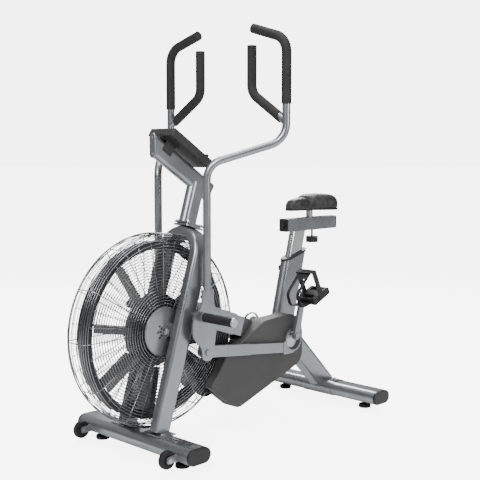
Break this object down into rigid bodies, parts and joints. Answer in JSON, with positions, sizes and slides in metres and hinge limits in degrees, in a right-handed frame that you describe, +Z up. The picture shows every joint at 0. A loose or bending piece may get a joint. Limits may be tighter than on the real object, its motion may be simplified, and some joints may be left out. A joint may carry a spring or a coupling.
{
  "type": "air bike",
  "caption": "Fan-braked upright exercise bike with swinging push-pull handles, caged fan, belt guard, pedals with toe clips, padded saddle and console",
  "frame": {"origin": "on the floor under the centre of the bike's box, at rest", "axes": "+X to the rear of the bike, -Y the rider's left, +Z up; the rider faces -X"},
  "size_m": [1.2261, 0.588, 1.3755],
  "materials": {
    "black_plastic": "fine grain",
    "black_rubber": "dull",
    "blade_metal": "satin sheet",
    "bolt_steel": "zinc-plated",
    "cast_grey": "painted",
    "charcoal_plastic": "fine grain",
    "chrome": "polished",
    "dark_steel": "black powder coat",
    "foam": "closed-cell foam",
    "frame_grey": "satin metallic grey paint",
    "light_plastic": "smooth",
    "saddle_vinyl": "vinyl cover",
    "screen": "clear window"
  },
  "bodies": {
    "frame": {"front_stabiliser": "frame_grey", "rear_stabiliser": "frame_grey", "stabiliser_caps": "black_plastic", "wheel_brackets": "frame_grey", "frame_bolts": "bolt_steel", "fork_leg_left": "frame_grey", "fork_leg_right": "frame_grey", "head_flanges": "frame_grey", "mast": "frame_grey", "console_boom": "frame_grey", "console_case": "charcoal_plastic", "console_screen": "screen", "main_beam": "frame_grey", "bottom_bracket": "frame_grey", "seat_tube": "frame_grey", "seat_tube_bushing": "black_plastic", "rear_strut": "frame_grey", "pivot_pins": "bolt_steel", "foot_pegs": "black_rubber", "fan_cage": "chrome", "cage_hub_plates": "bolt_steel", "belt_guard": "charcoal_plastic", "fan_belt_cover": "charcoal_plastic", "jackshaft_hanger": "dark_steel", "belts": "black_rubber"},
    "front_left_foot": {"front_left_foot": "black_rubber"},
    "front_right_foot": {"front_right_foot": "black_rubber"},
    "rear_left_foot": {"rear_left_foot": "black_rubber"},
    "rear_right_foot": {"rear_right_foot": "black_rubber"},
    "wheel_left": {"wheel_left": "black_rubber"},
    "wheel_right": {"wheel_right": "black_rubber"},
    "console_button_1": {"console_button_1": "light_plastic"},
    "console_button_2": {"console_button_2": "light_plastic"},
    "console_button_3": {"console_button_3": "light_plastic"},
    "push_rod_left": {"push_rod_left": "frame_grey"},
    "push_rod_right": {"push_rod_right": "frame_grey"},
    "pedal_left": {"pedal_left": "black_plastic"},
    "pedal_right": {"pedal_right": "black_plastic"},
    "jackshaft": {"jackshaft": "dark_steel"},
    "seat_pull_pin": {"seat_pull_pin": "black_plastic"},
    "saddle_clamp_knob": {"saddle_clamp_knob": "black_plastic"},
    "lever_left": {"lever_plate_left": "frame_grey", "lever_tube_left": "frame_grey", "handle_grips_left": "foam"},
    "lever_right": {"lever_plate_right": "frame_grey", "lever_tube_right": "frame_grey", "handle_grips_right": "foam"},
    "crank": {"crank_axle": "bolt_steel", "crank_pulley": "cast_grey", "crank_arm_left": "frame_grey", "crank_arm_right": "frame_grey"},
    "fan": {"fan_rotor": "blade_metal", "fan_hoop": "dark_steel", "fan_axle": "bolt_steel"},
    "seat_post_assembly": {"seat_post": "chrome", "saddle_rail": "frame_grey", "rail_fittings": "black_plastic"},
    "saddle": {"saddle_carriage": "bolt_steel", "saddle_pan": "black_plastic", "saddle_pad": "saddle_vinyl"}
  },
  "joints": [
    {"name": "fan_spin", "type": "hinge", "parent": "frame", "child": "fan", "pos_m": [-0.3005, -0.003, 0.391], "axis": [0, 1, 0], "continuous": true},
    {"name": "jackshaft_spin", "type": "hinge", "parent": "frame", "child": "jackshaft", "pos_m": [-0.02, 0, 0.16], "axis": [0, 1, 0], "continuous": true},
    {"name": "crank_spin", "type": "hinge", "parent": "frame", "child": "crank", "pos_m": [0.2615, 0, 0.305], "axis": [0, 1, 0], "continuous": true},
    {"name": "pedal_left_spin", "type": "hinge", "parent": "crank", "child": "pedal_left", "pos_m": [0.29827, -0.1675, 0.45249], "axis": [0, 1, 0], "continuous": true},
    {"name": "pedal_right_spin", "type": "hinge", "parent": "crank", "child": "pedal_right", "pos_m": [0.22473, 0.1675, 0.15751], "axis": [0, 1, 0], "continuous": true},
    {"name": "lever_left_swing", "type": "hinge", "parent": "frame", "child": "lever_left", "pos_m": [-0.193, -0.119, 0.431], "axis": [0, 1, 0], "range_deg": [-8, 8]},
    {"name": "lever_right_swing", "type": "hinge", "parent": "frame", "child": "lever_right", "pos_m": [-0.193, 0.119, 0.431], "axis": [0, 1, 0], "range_deg": [-8, 8]},
    {"name": "rod_left_pivot", "type": "hinge", "parent": "lever_left", "child": "push_rod_left", "pos_m": [-0.1785, -0.1025, 0.314], "axis": [0, 1, 0], "range_deg": [-8, 8]},
    {"name": "rod_right_pivot", "type": "hinge", "parent": "lever_right", "child": "push_rod_right", "pos_m": [-0.1785, 0.1025, 0.314], "axis": [0, 1, 0], "range_deg": [-8, 8]},
    {"name": "seat_height", "type": "slide", "parent": "frame", "child": "seat_post_assembly", "axis": [0.247, 0, 0.969], "range_m": [-0.025, 0.1]},
    {"name": "saddle_slide", "type": "slide", "parent": "seat_post_assembly", "child": "saddle", "axis": [1, 0, 0], "range_m": [-0.012, 0.062]},
    {"name": "saddle_clamp_turn", "type": "hinge", "parent": "saddle", "child": "saddle_clamp_knob", "pos_m": [0.487, 0, 0.63], "axis": [0, 0, 1], "range_deg": [-180, 180]},
    {"name": "seat_pin_pull", "type": "slide", "parent": "frame", "child": "seat_pull_pin", "axis": [0, 1, 0], "range_m": [0, 0.014], "stiffness_N_per_m": 700, "springref_m": -0.004},
    {"name": "wheel_left_spin", "type": "hinge", "parent": "frame", "child": "wheel_left", "pos_m": [-0.4345, -0.215, 0.044], "axis": [0, 1, 0], "continuous": true},
    {"name": "wheel_right_spin", "type": "hinge", "parent": "frame", "child": "wheel_right", "pos_m": [-0.4345, 0.215, 0.044], "axis": [0, 1, 0], "continuous": true},
    {"name": "front_left_foot_turn", "type": "hinge", "parent": "frame", "child": "front_left_foot", "pos_m": [-0.3585, -0.2, 0.02], "axis": [0, 0, 1], "range_deg": [-180, 180]},
    {"name": "front_right_foot_turn", "type": "hinge", "parent": "frame", "child": "front_right_foot", "pos_m": [-0.3585, 0.2, 0.02], "axis": [0, 0, 1], "range_deg": [-180, 180]},
    {"name": "rear_left_foot_turn", "type": "hinge", "parent": "frame", "child": "rear_left_foot", "pos_m": [0.5655, -0.2, 0.02], "axis": [0, 0, 1], "range_deg": [-180, 180]},
    {"name": "rear_right_foot_turn", "type": "hinge", "parent": "frame", "child": "rear_right_foot", "pos_m": [0.5655, 0.2, 0.02], "axis": [0, 0, 1], "range_deg": [-180, 180]},
    {"name": "console_button_1_press", "type": "slide", "parent": "frame", "child": "console_button_1", "axis": [-0.5436, 0, -0.8393], "range_m": [0, 0.001], "stiffness_N_per_m": 900, "springref_m": -0.0006},
    {"name": "console_button_2_press", "type": "slide", "parent": "frame", "child": "console_button_2", "axis": [-0.5436, 0, -0.8393], "range_m": [0, 0.001], "stiffness_N_per_m": 900, "springref_m": -0.0006},
    {"name": "console_button_3_press", "type": "slide", "parent": "frame", "child": "console_button_3", "axis": [-0.5436, 0, -0.8393], "range_m": [0, 0.001], "stiffness_N_per_m": 900, "springref_m": -0.0006}
  ],
  "couplings": [
    {"joint": "jackshaft_spin", "follows": "fan_spin", "ratio": 0.43478},
    {"joint": "crank_spin", "follows": "fan_spin", "ratio": 0.13493},
    {"joint": "lever_right_swing", "follows": "lever_left_swing", "ratio": -1},
    {"joint": "rod_left_pivot", "follows": "lever_left_swing", "ratio": -1},
    {"joint": "rod_right_pivot", "follows": "lever_left_swing", "ratio": 1}
  ]
}
